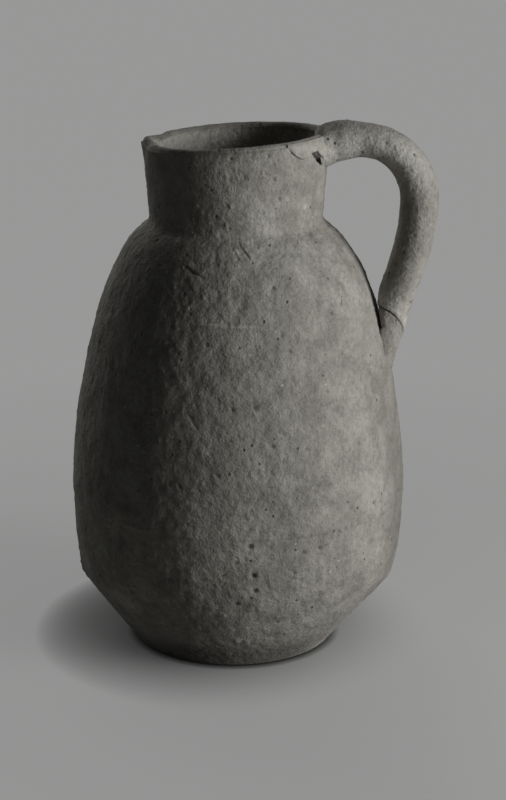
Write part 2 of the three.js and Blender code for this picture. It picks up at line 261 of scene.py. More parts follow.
def spun(name, profile, steps):
    """A closed solid of revolution: a loop of points is set to the outline and turned."""
    bpy.ops.object.select_all(action="DESELECT")
    bpy.ops.mesh.primitive_circle_add(vertices=len(profile), radius=1, location=(0, 0, 0))
    piece = bpy.context.object
    piece.name = piece.data.name = name
    press(piece, np.column_stack([profile[:, 0], np.zeros(len(profile)), profile[:, 1]]) * mm)
    rows = piece.data.attributes.new("row", "INT", "POINT")
    rows.data.foreach_set("value", np.arange(len(profile)))
    only(piece)
    turning = piece.modifiers.new("turning", "SCREW")
    turning.axis = "Z"
    turning.angle = 2 * math.pi
    turning.steps = turning.render_steps = steps
    bpy.ops.object.modifier_apply(modifier=turning.name)
    bpy.ops.object.mode_set(mode="EDIT")
    bpy.ops.mesh.select_all(action="SELECT")
    bpy.ops.mesh.remove_doubles(threshold=0.002 * mm)
    bpy.ops.mesh.delete_loose(use_verts=True, use_edges=True, use_faces=False)
    bpy.ops.mesh.select_all(action="SELECT")
    bpy.ops.mesh.normals_make_consistent(inside=False)
    bpy.ops.object.mode_set(mode="OBJECT")
    press(piece, settle(points_of(piece) / mm) * mm)
    return piece


spreads = {"hand": 44, "lumps": 8, "knobs": 3.4, "grit": 1.3}


def weather(piece, layers, weights=None):
    """Unevenness from coarse to fine: name, height and the share of it that stands out."""
    only(piece)
    if weights is not None:
        group = piece.vertex_groups.new(name="weathered")
        for weight in np.unique(weights):
            group.add(np.flatnonzero(weights == weight).tolist(), float(weight), "REPLACE")
    for name, height, proud in layers:
        texture = bpy.data.textures.get(name) or bpy.data.textures.new(name, "CLOUDS")
        texture.noise_scale = spreads[name] * mm
        texture.noise_depth = 2
        swell = piece.modifiers.new(name, "DISPLACE")
        swell.texture = texture
        swell.strength = height * mm
        swell.mid_level = 1 - proud
        if weights is not None:
            swell.vertex_group = "weathered"
        bpy.ops.object.modifier_apply(modifier=swell.name)


def tree_of(points, chosen):
    """The chosen points, kept so that those near a place are found fast."""
    tree = kdtree.KDTree(len(chosen))
    for index in chosen:
        tree.insert(points[index], int(index))
    tree.balance()
    return tree


ragged_share, ragged_spread = 0.45, 0.8


def pock(points, hollow, tree, centre, inward, reach, depth, dark=1.3):
    """A pit of that reach and depth, or a grain that stands out where depth is below zero."""
    for place, index, far in tree.find_range(centre, reach * mm):
        ragged = 1 + ragged_share * noise.noise(place / (ragged_spread * mm))
        bowl = max(0, 1 - (far * ragged / (reach * mm)) ** 2) ** 2
        points[index] += np.array(inward) * depth * mm * bowl
        # Painted shade: the hollow mark darkens the colour inside the pit
        hollow[index] = max(hollow[index], bowl * min(1, depth * dark))


def on_wall(angle, height):
    """A place on the wall's outside, and the way in towards the axis."""
    turn = math.radians(angle)
    radius = float(outside(height))
    place = settle(np.array([[radius * math.cos(turn), radius * math.sin(turn), height]]))[0] * mm
    return Vector(place), Vector((-math.cos(turn), -math.sin(turn), 0))


wall = spun("wall", outline, round_steps)
wall_rows = row_of(wall)
on_side = (wall_rows > ends["edge"]) & (wall_rows < ends["mouth"])
spun_height = points_of(wall)[:, 2] / mm
calmer_neck = 0.35
low_rise = smooth(spun_height, 0.6, 4) * (1 - calmer_neck * smooth(spun_height, 202, 222))
inner_share = 0.5
wall_weights = np.where(wall_rows > ends["mouth"], inner_share, np.round(low_rise, 1))
wall_weights = np.where(wall_rows <= ends["edge"], 0, wall_weights)
weather(
    wall,
    [("hand", 1.1, 0.38), ("lumps", 0.8, 0.45), ("knobs", 0.52, 0.42), ("grit", 0.1, 0.45)],
    wall_weights,
)

wall_points = points_of(wall)
wall_hollow_shade = np.zeros(len(wall_points))
wall_chalk_and_light = np.zeros(len(wall_points))
side_index = np.flatnonzero(on_side)
side_tree = tree_of(wall_points, side_index)

# Deep pits of burnt-out straw and lost grit: angle round the jug, height, reach and depth
deep_pits = [
    (-30, 84, 1.5, 0.9), (-43, 89, 1.1, 0.7), (-54, 70, 1.5, 0.9), (-60, 69, 1.2, 0.7),
    (-47, 58, 1.1, 0.6), (-78, 74, 1.7, 1.0), (-83, 66, 1.4, 0.7), (-77, 59, 1.9, 1.1),
    (-76, 51, 1.7, 1.0), (-63, 59, 1.1, 0.8), (-82, 43, 1.4, 0.8), (-87, 59, 1.2, 0.7),
    (-66, 31, 1.1, 0.7), (-52, 44, 0.9, 0.6), (-62, 162, 1.3, 0.7), (-70, 120, 1.4, 0.8),
    (-84, 137, 1.3, 0.7), (-40, 176, 1.2, 0.7), (-66, 190, 1.3, 0.7), (-58, 118, 1.4, 0.8),
]
for angle, height, reach, depth in deep_pits:
    centre, inward = on_wall(angle, height)
    centre = side_tree.find(centre)[0]
    pock(wall_points, wall_hollow_shade, side_tree, centre, inward, reach, depth)

# Scratches: from one place to another, with their width and depth
scratches = [
    ((-108.7, 197.9), (-98.1, 193.7), 0.9, 0.5),
    ((-80.8, 208.2), (-75.6, 202), 1.0, 0.4),
    ((-83, 206), (-79, 201), 0.9, -0.3),
    ((-99, 134), (-96, 128), 0.9, 0.25),
    # These four run along the lower edge of the near wing, and their darkened hollows are painted shade
    # in the gap under it
    ((-49.5, 248.4), (-44, 244.3), 0.6, 0.5),
    ((-44, 244.3), (-34, 242.6), 0.6, 0.5),
    ((-29.5, 245.4), (-21.9, 241.2), 1.5, 1.3),
    ((-21.9, 241), (-13, 238.2), 1.9, 1.5),
]
for (start_angle, start_height), (end_angle, end_height), reach, depth in scratches:
    for share in np.linspace(0, 1, 26):
        waver = 0.2 * math.sin(share * 9)
        centre, inward = on_wall(
            start_angle + (end_angle - start_angle) * share,
            start_height + (end_height - start_height) * share + waver,
        )
        pock(wall_points, wall_hollow_shade, side_tree, side_tree.find(centre)[0], inward, reach, depth * 0.5)

# Small pits and standing grains all over, with no grain standing on the rim
scatter = np.random.default_rng(11)
small_marks, highest_grain = 2600, 242
for step in range(small_marks):
    index = int(side_index[scatter.integers(len(side_index))])
    centre = Vector(wall_points[index])
    inward = Vector((-centre.x, -centre.y, 0)).normalized()
    reach = 0.6 + 1.0 * scatter.random() ** 4
    depth = reach * (0.45 if step % 3 == 0 else -0.25)
    if depth > 0 or centre.z < highest_grain * mm:
        pock(wall_points, wall_hollow_shade, side_tree, centre, inward, reach, depth, 0.8)

# Chalky places, and painted light on the right of the shoulder: angle, height, reach and strength
chalk_and_painted_light = [
    (-103, 181, 1.6, 1.0), (-99, 174.6, 1.5, 0.9), (-98, 176, 1.2, 0.8), (-48, 226, 1.6, 0.8),
    (-32, 221, 1.4, 0.8), (-66, 219, 9, 0.5), (-60, 212, 8, 0.45), (-75, 207, 7, 0.55),
    (-84, 204, 5, 0.5), (-92, 211, 4, 0.4), (-33, 70, 18, 0.08), (-31, 84, 18, 0.1),
    (-32, 98, 18, 0.14), (-34, 112, 17, 0.15), (-33, 126, 17, 0.15), (-38, 140, 15, 0.15),
    (-52, 88, 3, 0.3), (-92, 97, 3, 0.4), (-128, 78, 9, 0.3), (-120, 60, 8, 0.3),
    (-107, 90, 7, 0.3), (-147, 44, 12, 0.6), (-128, 34, 11, 0.6), (-138, 60, 10, 0.4),
    # The last eight places, on the right of the shoulder from 184 to 204 high, are painted light where
    # the shoulder faces the light
    (-118, 44, 9, 0.4), (-70, 203, 9, 0.35), (-56, 204, 10, 0.4), (-40, 204, 10, 0.4),
    (-24, 203, 10, 0.35), (-48, 196, 12, 0.3), (-28, 195, 12, 0.3), (-36, 184, 12, 0.22),
    (-20, 184, 11, 0.22),
]
for angle, height, reach, strength in chalk_and_painted_light:
    for _, index, far in side_tree.find_range(on_wall(angle, height)[0], reach * mm):
        wall_chalk_and_light[index] = max(wall_chalk_and_light[index], strength * (1 - (far / (reach * mm)) ** 2))

# A thin pale scrape across the upper belly
scrape_start, scrape_end, scrape_height, scrape_fall, scrape_reach = -101, -74, 174.9, 0.05, 0.9
for angle in np.arange(scrape_start, scrape_end, 0.35):
    centre = on_wall(angle, scrape_height - scrape_fall * (angle - scrape_start))[0]
    for _, index, far in side_tree.find_range(centre, scrape_reach * mm):
        wall_chalk_and_light[index] = max(wall_chalk_and_light[index], 0.7 * (1 - far / (scrape_reach * mm)))

# Painted shade on the side under the handle, painted shade low on the front of the foot by the floor,
# and painted light on the inner wall of the mouth by the lip, on the side away from the handle
wall_turn = np.degrees(np.arctan2(wall_points[:, 1], wall_points[:, 0]))
wall_height = wall_points[:, 2] / mm
# Painted shade along the wall's side under the handle, from 15 to 150 high
limb_shade = 0.5 * smooth(wall_turn, -27, -12) * (1 - smooth(wall_turn, 50, 90))
limb_shade *= smooth(wall_height, 15, 45) * (1 - smooth(wall_height, 118, 150))
# Painted shade: the lowest 20 mm of the foot's front are darkened, where the floor next to it lies in
# shade
foot_shade = 0.9 * (1 - smooth(wall_height, 7, 20))
foot_shade *= smooth(wall_turn, -150, -110) * (1 - smooth(wall_turn, -52, -24))
wall_painted_shade = np.where(wall_rows < ends["mouth"], np.maximum(limb_shade, foot_shade), 0)
# Painted light: the inner wall of the mouth on the side away from the handle is made paler, where light
# falls into it
in_mouth = (wall_rows >= ends["lip"]) & (wall_rows < ends["mouth"])
wall_chalk_and_light = np.maximum(wall_chalk_and_light, 0.9 * in_mouth * smooth(-wall_points[:, 0] / mm, -12, 22))

low_corner, high_corner = (np.array(corner) for corner in cad_box)
press(wall, np.clip(wall_points, low_corner, high_corner))
mark(wall, "hollow", wall_hollow_shade)
mark(wall, "pale", wall_chalk_and_light)
mark(wall, "painted_shade", wall_painted_shade)


def new(tree, kind, inputs=(), **settings):
    """A node whose inputs are given as (socket, number or another node's output)."""
    made = tree.nodes.new(kind)
    for key, value in settings.items():
        setattr(made, key, value)
    for socket, value in inputs:
        if hasattr(value, "is_output"):
            tree.links.new(value, made.inputs[socket])
        else:
            made.inputs[socket].default_value = value
    return made


def sums(tree, operation, first, second):
    return new(tree, "ShaderNodeMath", [(0, first), (1, second)], operation=operation).outputs[0]


def spread(tree, value, low, high, bottom=0.0, top=1.0):
    """Stretches what lies between low and high to what lies between bottom and top."""
    limits = [("From Min", low), ("From Max", high), ("To Min", bottom), ("To Max", top)]
    return new(tree, "ShaderNodeMapRange", [("Value", value), *limits]).outputs["Result"]


def fired_clay(name, dark, light, pale, grit=1.0):
    """Coarse fired clay: broad clouds, mottling, sandy grain, pinholes and chalky flecks."""
    material = bpy.data.materials.new(name)
    material.use_nodes = True
    tree = material.node_tree
    shader = tree.nodes["Principled BSDF"]
    where = new(tree, "ShaderNodeTexCoord").outputs["Object"]
    per_metre = (1 / mm, 1 / mm, 1 / mm)
    place = new(tree, "ShaderNodeMapping", [("Vector", where), ("Scale", per_metre)]).outputs["Vector"]

    def times(first, second):
        return sums(tree, "MULTIPLY", first, second)

    def tint(blend, share, first, second):
        colours = [("Factor", share), (6, first), (7, second)]
        return new(tree, "ShaderNodeMix", colours, data_type="RGBA", blend_type=blend).outputs[2]

    def clouds(scale, detail, rough, twist=0.0):
        inputs = [("Vector", place), ("Scale", scale), ("Detail", detail)]
        inputs += [("Roughness", rough), ("Distortion", twist)]
        return new(tree, "ShaderNodeTexNoise", inputs).outputs["Fac"]

    def dots(scale, reach, share):
        cells = new(tree, "ShaderNodeTexVoronoi", [("Vector", place), ("Scale", scale)])
        picked = new(tree, "ShaderNodeSeparateColor", [("Color", cells.outputs["Color"])])
        near = spread(tree, cells.outputs["Distance"], reach, reach * 0.45)
        return times(near, sums(tree, "LESS_THAN", picked.outputs["Red"], share))

    def grains(scale):
        inputs = [("Vector", place), ("Scale", scale), ("Smoothness", 0.35)]
        cells = new(tree, "ShaderNodeTexVoronoi", inputs, feature="SMOOTH_F1")
        return spread(tree, cells.outputs["Distance"], 0.1, 0.75, 1, 0)

    broad = clouds(0.022, 3, 0.55)
    blotch = clouds(0.075, 4, 0.6, 0.4)
    mottle = clouds(0.34, 4, 0.65)
    grain = clouds(1.1, 3, 0.7)
    sand = grains(0.62)
    pinholes = dots(0.3, 0.26, 0.07)
    specks = dots(0.62, 0.42, 0.24)
    pale_grains = dots(0.5, 0.4, 0.2)
    flecks = dots(0.27, 0.2, 0.06)
    hollow, chalk_and_light, painted_shade = (
        new(tree, "ShaderNodeAttribute", attribute_name=mark_name).outputs["Fac"]
        for mark_name in ("hollow", "pale", "painted_shade")
    )

    broad_tone = spread(tree, broad, 0.32, 0.68, 0, 0.34)
    tone = sums(tree, "ADD", broad_tone, spread(tree, blotch, 0.36, 0.64, -0.1, 0.52))
    tone = sums(tree, "ADD", tone, spread(tree, mottle, 0.34, 0.66, -0.06, 0.32))
    body = tint("MIX", tone, (*dark, 1), (*light, 1))
    dull_grain = spread(tree, grain, 0.38, 0.6, 0.26 * grit, 0)
    body = tint("MULTIPLY", dull_grain, body, (0.45, 0.44, 0.42, 1))
    # The pale mark read here brightens the colour: chalk, and painted light on the shoulder, in the
    # mouth and on the handle's arch
    broken_chalk_and_light = times(chalk_and_light, spread(tree, mottle, 0.34, 0.62, 0.35, 1.1))
    for share in (broken_chalk_and_light, times(pale_grains, 0.16 * grit), times(flecks, 0.7)):
        body = tint("MIX", share, body, (*pale, 1))
    body = tint("MULTIPLY", times(specks, 0.26 * grit), body, (0.32, 0.31, 0.3, 1))
    body = tint("MULTIPLY", times(pinholes, 0.75 * grit), body, (0.18, 0.175, 0.17, 1))
    # Painted shade: the mark read here darkens the colour on the side under the handle and low on the
    # front of the foot
    shaded = times(painted_shade, spread(tree, blotch, 0.3, 0.6, 0.75, 1.1))
    body = tint("MULTIPLY", shaded, body, (0.46, 0.455, 0.45, 1))
    # The hollow mark darkens the colour: painted shade in pits, scratches and the gap under the near
    # wing, and the dark of the worn broken edge
    ragged = times(hollow, spread(tree, grain, 0.36, 0.6, 0.45, 1.1))
    body = tint("MULTIPLY", ragged, body, (0.16, 0.155, 0.15, 1))

    grain_height = spread(tree, grain, 0.3, 0.7, 0, 0.26)
    height = sums(tree, "ADD", grain_height, spread(tree, mottle, 0.3, 0.7, 0, 0.8))
    height = sums(tree, "ADD", height, times(sand, 0.14))
    height = sums(tree, "SUBTRACT", height, times(pinholes, 0.9))
    relief = [("Distance", 0.4 * mm), ("Strength", min(1, 0.95 * grit)), ("Height", height)]
    bump = new(tree, "ShaderNodeBump", relief)

    tree.links.new(body, shader.inputs["Base Color"])
    tree.links.new(spread(tree, mottle, 0.3, 0.7, 0.86, 0.98), shader.inputs["Roughness"])
    tree.links.new(bump.outputs["Normal"], shader.inputs["Normal"])
    shader.inputs["Specular IOR Level"].default_value = 0.22
    return material


jug_clay = fired_clay("jug clay", (0.205, 0.196, 0.174), (0.385, 0.37, 0.332), (0.545, 0.53, 0.485))


def parted(name, spans, joins):
    """Takes the rows of one stage off the wall and closes it along its joins."""
    only(wall)
    rows = row_of(wall)
    starts = np.empty(len(wall.data.polygons), int)
    wall.data.polygons.foreach_get("loop_start", starts)
    loops = np.empty(len(wall.data.loops), int)
    wall.data.loops.foreach_get("vertex_index", loops)
    lowest = np.minimum.reduceat(rows[loops], starts)
    highest = np.maximum.reduceat(rows[loops], starts)
    taken = np.zeros(len(starts), bool)
    for low, high in spans:
        taken |= (lowest >= low) & (highest <= high)
    bpy.ops.object.mode_set(mode="EDIT")
    bpy.ops.mesh.select_mode(type="FACE")
    bpy.ops.mesh.select_all(action="DESELECT")
    bpy.ops.object.mode_set(mode="OBJECT")
    wall.data.polygons.foreach_set("select", taken)
    bpy.ops.object.mode_set(mode="EDIT")
    before = set(bpy.data.objects)
    bpy.ops.mesh.separate(type="SELECTED")
    bpy.ops.object.mode_set(mode="OBJECT")
    piece = (set(bpy.data.objects) - before).pop()
    return closed(piece, name, joins)


def closed(piece, name, joins):
    """Bridges each pair of open edges, keeps those edges sharp, and finishes the piece."""
    piece.name = piece.data.name = name
    for pair in joins:
        choose(piece, np.isin(row_of(piece), pair))
        bpy.ops.mesh.bridge_edge_loops()
        bpy.ops.object.mode_set(mode="OBJECT")
    choose(piece, np.isin(row_of(piece), [row for pair in joins for row in pair]))
    bpy.ops.mesh.mark_sharp()
    bpy.ops.mesh.select_all(action="SELECT")
    bpy.ops.mesh.normals_make_consistent(inside=False)
    bpy.ops.mesh.faces_shade_smooth()
    bpy.ops.object.mode_set(mode="OBJECT")
    piece.data.materials.append(jug_clay)
    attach(piece, "root")
    return piece


base_pair = (ends["base"], ends["heel"])
foot_pair = (ends["foot"], ends["hollow"])
shoulder_pair = (ends["belly"], ends["under shoulder"])
neck_pair = (ends["shoulder"], ends["mouth"])
base_spans = [(0, ends["base"]), (ends["heel"], ends["floor"])]
foot_spans = [(ends["base"], ends["foot"]), (ends["hollow"], ends["heel"])]
belly_spans = [(ends["foot"], ends["belly"]), (ends["under shoulder"], ends["hollow"])]
shoulder_spans = [(ends["belly"], ends["shoulder"]), (ends["mouth"], ends["under shoulder"])]
base = parted("base", base_spans, [base_pair])
foot = parted("foot", foot_spans, [base_pair, foot_pair])
belly = parted("belly", belly_spans, [foot_pair, shoulder_pair])
shoulder = parted("shoulder", shoulder_spans, [shoulder_pair, neck_pair])
neck = closed(wall, "neck_and_lip", [neck_pair])
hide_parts("base_disc")
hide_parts("foot_wall")
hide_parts("belly_wall")
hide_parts("shoulder_wall")
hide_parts("neck")

# The handle. One coil of the same clay was pulled to an oval bar, laid over the rim, bent down
# and smoothed onto the shoulder. It once broke across near its foot, and a thin pale filling
# now holds the lower end, so arm, filling and stub are cut from the one coil.
coil_steps, coil_sides = 300, 104
path = np.vstack([
    curve((37.8, 246.4), (76.9, 259.3), (86.4, 232.7), (86.4, 222.2))[:-1],
    curve((86.4, 222.2), (86.4, 196.6), (76.5, 178), (62.5, 136)),
])
path_run = np.concatenate([[0], np.cumsum(np.hypot(*np.diff(path, axis=0).T))])

# Half the coil's depth and half its width at shares of its length
coil_sections = np.array([
    (0, 10.9, 14.5), (0.07, 9.5, 10.8), (0.15, 8.3, 9), (0.42, 9.4, 9.6), (0.72, 9.1, 9.4),
    (0.86, 10.2, 10), (1, 11.6, 13.5),
])
cap_length, cap_start = 10, 0.35
stroke_depth = 0.16


def sheet(name, steps_across, steps_down):
    """A flat sheet of clay one unit wide and high, to be laid in its shape."""
    bpy.ops.object.select_all(action="DESELECT")
    bpy.ops.mesh.primitive_grid_add(
        x_subdivisions=steps_across, y_subdivisions=steps_down, size=1, location=(0, 0, 0),
    )
    piece = bpy.context.object
    piece.name = piece.data.name = name
    return piece


def coil(name, extra):
    """The whole coil, rolled up from a sheet: its depth shows in the jug's plane, its width across."""
    piece = sheet(name, coil_sides, coil_steps)
    flat = points_of(piece)
    turn = (flat[:, 0] + 0.5) * 2 * math.pi
    share = np.clip(flat[:, 1] + 0.5, 0, 1)
    far = share * path_run[-1]
    centre, ahead, behind = (
        np.column_stack([np.interp(run, path_run, path[:, k]) for k in (0, 1)])
        for run in (far, np.minimum(far + 0.5, path_run[-1]), np.maximum(far - 0.5, 0))
    )
    along = (ahead - behind) / np.linalg.norm(ahead - behind, axis=1)[:, None]
    place = np.clip(np.searchsorted(coil_sections[:, 0], share), 1, len(coil_sections) - 1)
    blend = smooth(share, coil_sections[place - 1, 0], coil_sections[place, 0])
    deep, wide = (
        coil_sections[place - 1, k] * (1 - blend) + coil_sections[place, k] * blend for k in (1, 2)
    )
    cap_share = np.minimum(1, far / cap_length)
    cap = cap_start + (1 - cap_start) * np.sqrt(1 - (1 - cap_share) ** 2)
    taper = 1 + (cap - 1) * np.maximum(0, -np.cos(turn))
    finger_strokes = 1 + np.cos(3 * turn + 5 * share)
    stroke = extra - stroke_depth * finger_strokes * smooth(share, 0.12, 0.3)
    inward = np.cos(turn) * (deep * taper + stroke)
    sideways = np.sin(turn) * (wide * taper + stroke)
    points = np.column_stack([
        centre[:, 0] + along[:, 1] * inward, sideways, centre[:, 1] - along[:, 0] * inward,
    ])
    press(piece, points * mm)
    bpy.ops.object.mode_set(mode="EDIT")
    bpy.ops.mesh.select_all(action="SELECT")
    bpy.ops.mesh.remove_doubles(threshold=0.01 * mm)
    bpy.ops.mesh.fill_holes(sides=0)
    bpy.ops.mesh.select_all(action="SELECT")
    bpy.ops.mesh.normals_make_consistent(inside=False)
    bpy.ops.mesh.faces_shade_smooth()
    bpy.ops.object.mode_set(mode="OBJECT")
    weather(piece, [("hand", 0.7, 0.4), ("lumps", 0.5, 0.4), ("knobs", 0.3, 0.4), ("grit", 0.1, 0.45)])
    return piece


# The break: where it crosses the coil, which way it faces, and the radius and reach of its dome
break_centre = np.array([74.9, 0, 164.1])
break_normal = np.array([0.547, 0.567, 0.616])
break_normal /= np.linalg.norm(break_normal)
break_dome, dome_reach = 34, 24


def dome(points, sign):
    """Flattens the domed face of the break, or with the other sign bends it back."""
    offset = points / mm - break_centre
    across = offset - np.outer(offset @ break_normal, break_normal)
    reach = np.minimum(np.linalg.norm(across, axis=1), dome_reach)
    sink = break_dome - np.sqrt(break_dome ** 2 - reach ** 2)
    return points + sign * np.outer(sink, break_normal) * mm


def cut_off(piece, offset, keep_above):
    """Cuts the coil along the break, that far from its middle, and closes the cut."""
    press(piece, dome(points_of(piece), 1))
    only(piece)
    bpy.ops.object.mode_set(mode="EDIT")
    bpy.ops.mesh.select_all(action="SELECT")
    centre = (break_centre + break_normal * offset) * mm
    bpy.ops.mesh.bisect(
        plane_co=centre, plane_no=break_normal, use_fill=True,
        clear_inner=keep_above, clear_outer=not keep_above, threshold=0.0001 * mm,
    )
    bpy.ops.object.mode_set(mode="OBJECT")
    press(piece, dome(points_of(piece), -1))


def filled_jug(shrink):
    """The jug's outside as a solid, a little small, to which the coil is fitted."""
    side = evenly(up_outside(base_edge, lip_foot), 2.2)
    arc = lip_arc[:31:3]
    profile = np.vstack([[(0, 0), (base_rim, 0)], side, arc[1:], [(0, rim_height)]])
    profile = profile - np.column_stack([np.full(len(profile), shrink), np.zeros(len(profile))])
    profile[:, 0] = np.maximum(profile[:, 0], 0)
    profile[-len(arc):, 1] -= shrink
    return spun("filled jug", profile, 180)


foot_spread, foot_spread_reach = 2.3, 5


def fit_to_jug(piece):
    """Hollows the coil to the jug's outside and spreads its lower end softly onto the shoulder."""
    only(piece)
    bpy.ops.object.mode_set(mode="EDIT")
    bpy.ops.mesh.select_all(action="SELECT")
    bpy.ops.mesh.quads_convert_to_tris()
    bpy.ops.mesh.normals_make_consistent(inside=False)
    bpy.ops.object.mode_set(mode="OBJECT")
    fitting = piece.modifiers.new("fitted", "BOOLEAN")
    fitting.operation = "DIFFERENCE"
    fitting.solver = "EXACT"
    fitting.object = jug_core
    bpy.ops.object.modifier_apply(modifier=fitting.name)
    points = points_of(piece) / mm
    height = points[:, 2]
    radius = np.hypot(points[:, 0], points[:, 1])
    gap = radius - outside(height)
    close = np.clip(1 - gap / foot_spread_reach, 0, 1) * (height < 200)
    lift = foot_spread * smooth(height, 155, 165) * (1 - 0.6 * smooth(height, 169, 182)) * close
    points[:, :2] *= (1 + lift / radius)[:, None]
    press(piece, points * mm)


def facing(piece):
    """Which way the surface faces at each point."""
    flat = np.empty(len(piece.data.vertices) * 3)
    piece.data.vertices.foreach_get("normal", flat)
    return flat.reshape(-1, 3)


def above_break(points):
    """How far each point lies above the domed face of the break, in millimetres."""
    return (dome(points, 1) / mm - break_centre) @ break_normal


def age(piece, pits, seed, worn_at=None):
    """Scattered pits and grains, and the soft dark hollow along a broken edge."""
    points = points_of(piece)
    hollow = np.zeros(len(points))
    tree = tree_of(points, range(len(points)))
    picks = np.random.default_rng(seed)
    normals = facing(piece)
    for step in range(pits):
        index = picks.integers(len(points))
        reach = 0.5 + 0.9 * picks.random() ** 4
        depth = reach * (0.42 if step % 3 == 0 else -0.22)
        pock(points, hollow, tree, Vector(points[index]), -normals[index], reach, depth, 0.8)
    if worn_at is not None:
        near = np.abs(above_break(points) - worn_at)
        fret = np.array([noise.noise(Vector(place) / (1.6 * mm)) for place in points])
        wear = np.clip(1 - near / (1.1 + 0.5 * fret), 0, 1) ** 1.5
        points -= normals * (wear * (0.5 + 0.25 * fret))[:, None] * mm
        hollow = np.maximum(hollow, wear * 0.9)
    press(piece, np.clip(points, low_corner, high_corner))
    mark(piece, "hollow", hollow)


def settled_piece(piece, node, material, pale=None):
    """Gives a finished piece its clay, its chalky places and painted light, and its place in the frame.
    """
    mark(piece, "pale", np.zeros(len(piece.data.vertices)) if pale is None else pale)
    piece.data.materials.append(material)
    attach(piece, "root")
    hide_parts(node)


jug_core = filled_jug(0.6)

handle = coil("handle", 0)
cut_off(handle, 0.85, True)
fit_to_jug(handle)
age(handle, 500, 21)

# The arm is chalky by the break and at its root, and both flanks of its arch are given painted light
handle_points = points_of(handle)
by_break = np.clip(1 - above_break(handle_points) / 9, 0, 1)
# Painted light on both flanks of the arch, where the light falls on them
arch_light = np.abs(facing(handle)[:, 1]) * smooth(handle_points[:, 2] / mm, 218, 242)
at_root = 1 - smooth(handle_points[:, 0] / mm, 44, 62)
chalk_and_arch_light = np.maximum.reduce([0.85 * by_break, 0.8 * arch_light, 0.5 * at_root])
settled_piece(handle, "handle_arm", jug_clay, chalk_and_arch_light)

stub = coil("stub", 0)
cut_off(stub, -0.9, False)
fit_to_jug(stub)
age(stub, 90, 22, -0.9)
settled_piece(stub, "handle_stub", jug_clay)

mend_clay = fired_clay(
    "mending clay", (0.3, 0.287, 0.255), (0.49, 0.472, 0.425), (0.6, 0.585, 0.54), 0.6,
)
mend = coil("mend", 0.06)
cut_off(mend, 1.1, False)
cut_off(mend, -0.55, True)
fit_to_jug(mend)
age(mend, 20, 23)
settled_piece(mend, "break_mend", mend_clay)

# The luting wings. Soft clay was smeared from the handle's root round the neck on both flanks to
# hold it to the rim, and it has shrunk away from the neck along its lower edge.
wing_clay = fired_clay(
    "luting clay", (0.235, 0.226, 0.2), (0.41, 0.395, 0.355), (0.545, 0.53, 0.485), 0.8,
)
wing_start, wing_turn, wing_thickness = 4, 45.7, 1.1
wing_proud, wing_sunk, fray_depth = 1.1, 0.35, 0.15

# The wing's lower edge: angle from the handle, height
wing_foot = np.array([
    (0, 236.5), (9, 238.6), (14, 239.8), (20, 242), (25.5, 244.6), (30, 244.6), (34, 243), (37, 242.3),
    (40, 242.8), (43, 244), (46, 245.9), (50, 248.8),
])


def wing(name, side, node, seed):
    """A thin smear of clay on one side of the neck, from the handle round to where it runs out."""
    piece = sheet(name, 110, 36)
    flat = points_of(piece)
    around, down = flat[:, 0] + 0.5, 0.5 - flat[:, 1]
    angle = wing_start + wing_turn * around
    fray = np.array([noise.noise(Vector((a * 7, d * 3, seed))) for a, d in zip(around, down)])
    foot_line = np.interp(angle, wing_foot[:, 0], wing_foot[:, 1])
    top = rim_height - 0.5
    height = top - (top - foot_line) * down - 0.3 * fray * down
    over = np.clip((height - lip_foot) / lip_round, 0, 0.97)
    proud = (wing_sunk + wing_proud * (1 - around ** 2)) * smooth(down, 0.05, 0.7) + fray_depth * fray
    proud = (proud + wing_sunk) * smooth(down, 0, 0.3) * smooth(1 - around, 0, 0.08) - wing_sunk
    proud -= 0.5 * smooth(down, 0.93, 1)
    radius = outside(height) - lip_thickness / 2 * (1 - np.sqrt(1 - over ** 2)) + proud
    turn = np.radians(side * angle)
    points = settle(np.column_stack([radius * np.cos(turn), radius * np.sin(turn), height]))
    press(piece, points * mm)
    only(piece)
    skin = piece.modifiers.new("thickness", "SOLIDIFY")
    skin.thickness = wing_thickness * mm
    skin.offset = -side
    bpy.ops.object.modifier_apply(modifier=skin.name)
    bpy.ops.object.mode_set(mode="EDIT")
    bpy.ops.mesh.select_all(action="SELECT")
    bpy.ops.mesh.normals_make_consistent(inside=False)
    bpy.ops.mesh.faces_shade_smooth()
    bpy.ops.object.mode_set(mode="OBJECT")
    smeared = points_of(piece)
    weather(piece, [("lumps", 0.3, 0.45), ("knobs", 0.18, 0.42), ("grit", 0.1, 0.45)])
    age(piece, 60, seed)
    from_handle = np.abs(np.degrees(np.arctan2(smeared[:, 1], smeared[:, 0])))
    thin_end = smooth(from_handle, 42, 46)[:, None]
    press(piece, points_of(piece) * (1 - thin_end) + smeared * thin_end)
    settled_piece(piece, node, wing_clay)


wing("near_wing", -1, "near_luting", 31)
wing("far_wing", 1, "far_luting", 32)
bpy.data.objects.remove(jug_core)

# The stage: a plain pale floor and room, and a camera at the photograph's distance and angle. The
# light is a low softbox and a window on the right, a far window behind on the left, and a weak
# fill from all round.
bpy.ops.object.select_all(action="DESELECT")
bpy.ops.mesh.primitive_plane_add(size=12, location=(0, 0, 0))
floor = bpy.context.object
floor.name = floor.data.name = "floor"
floor_paint = bpy.data.materials.new("floor paint")
floor_paint.use_nodes = True
paint = floor_paint.node_tree
paint.nodes.remove(paint.nodes["Principled BSDF"])


def looked_at(tree):
    """One where the floor or the room is seen by the camera or in a reflection."""
    kinds = new(tree, "ShaderNodeLightPath").outputs
    total = kinds["Is Camera Ray"]
    for other in ("Is Glossy Ray", "Is Transmission Ray"):
        total = sums(tree, "MAXIMUM", total, kinds[other])
    return total


